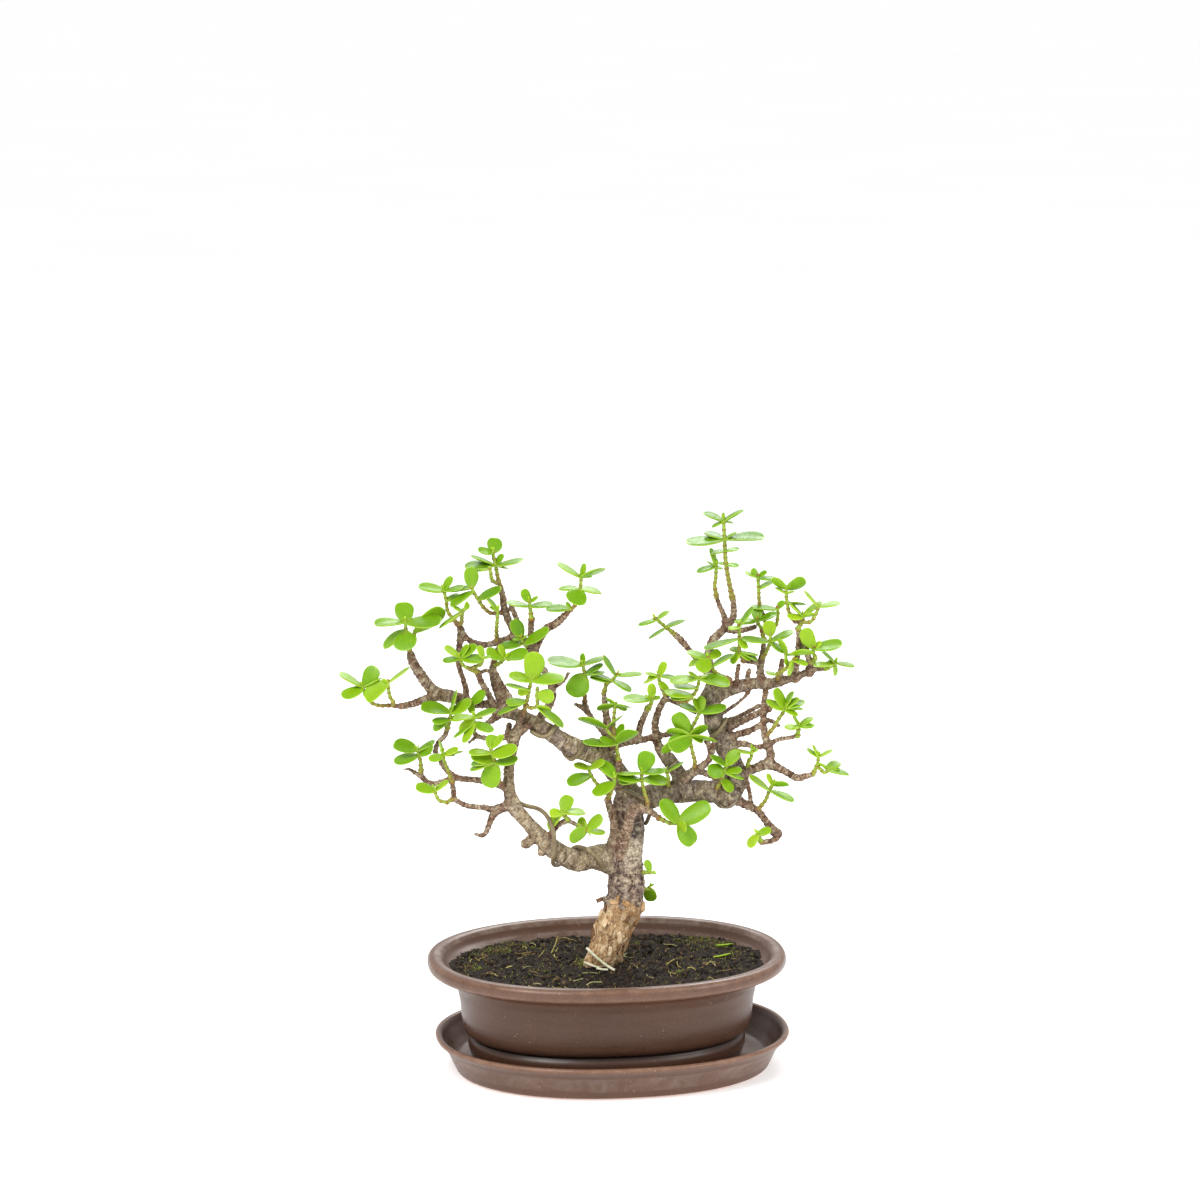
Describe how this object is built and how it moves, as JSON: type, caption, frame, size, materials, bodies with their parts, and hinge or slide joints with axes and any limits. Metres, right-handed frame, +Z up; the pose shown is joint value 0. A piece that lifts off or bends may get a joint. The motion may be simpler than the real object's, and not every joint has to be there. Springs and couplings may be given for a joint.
{
  "type": "potted bonsai tree",
  "caption": "Dwarf jade bonsai with a twisting trunk, wired branches and clusters of small fleshy leaves, in an oval brown clay pot standing on a matching oval saucer",
  "frame": {"origin": "centre of the saucer's flat underside, on the table", "axes": "+Z up, +X along the long axis of the pot and saucer, -Y towards the side the tree is seen from"},
  "size_m": [0.2232, 0.1252, 0.2489],
  "materials": {
    "saucer_clay": "unglazed brown clay, satin, greyer inside",
    "pot_clay": "unglazed brown clay, matte to satin, whitish haze on the inner lip",
    "soil": "dark crumbly potting mix with specks of moss",
    "bark": "grey brown and tan bark, flaky and paler at the foot",
    "training_wire": "anodised khaki, satin",
    "tie": "off-white, matte",
    "leaf": "fleshy bright green, softly glossy"
  },
  "bodies": {
    "root": {"saucer": "saucer_clay", "pot": "pot_clay", "soil": "soil", "trunk_and_branches": "bark", "wire_left_low": "training_wire", "wire_left_high": "training_wire", "wire_riser": "training_wire", "base_tie": "tie", "fallen_leaf": "leaf", "shoot_left_01": "leaf", "shoot_left_02": "leaf", "shoot_left_03": "leaf", "shoot_left_04": "leaf", "shoot_left_05": "leaf", "shoot_left_06": "leaf", "shoot_left_07": "leaf", "shoot_left_08": "leaf", "shoot_left_09": "leaf", "shoot_left_10": "leaf", "shoot_left_11": "leaf", "shoot_left_12": "leaf", "shoot_left_13": "leaf", "shoot_left_14": "leaf", "shoot_left_15": "leaf", "shoot_left_16": "leaf", "shoot_left_17": "leaf", "shoot_left_18": "leaf", "shoot_left_19": "leaf", "shoot_left_20": "leaf", "shoot_mid_01": "leaf", "shoot_mid_02": "leaf", "shoot_mid_03": "leaf", "shoot_mid_04": "leaf", "shoot_mid_05": "leaf", "shoot_mid_06": "leaf", "shoot_mid_07": "leaf", "shoot_mid_08": "leaf", "shoot_mid_09": "leaf", "shoot_mid_10": "leaf", "shoot_mid_11": "leaf", "shoot_top_01": "leaf", "shoot_top_02": "leaf", "shoot_right_01": "leaf", "shoot_right_02": "leaf", "shoot_right_03": "leaf", "shoot_right_04": "leaf", "shoot_right_05": "leaf", "shoot_right_06": "leaf", "shoot_right_07": "leaf", "shoot_right_08": "leaf", "shoot_right_09": "leaf", "shoot_right_10": "leaf", "shoot_right_11": "leaf", "shoot_right_12": "leaf", "shoot_right_13": "leaf", "shoot_right_14": "leaf", "shoot_right_15": "leaf", "shoot_right_16": "leaf", "shoot_trunk_01": "leaf", "shoot_trunk_02": "leaf"}
  },
  "joints": []
}
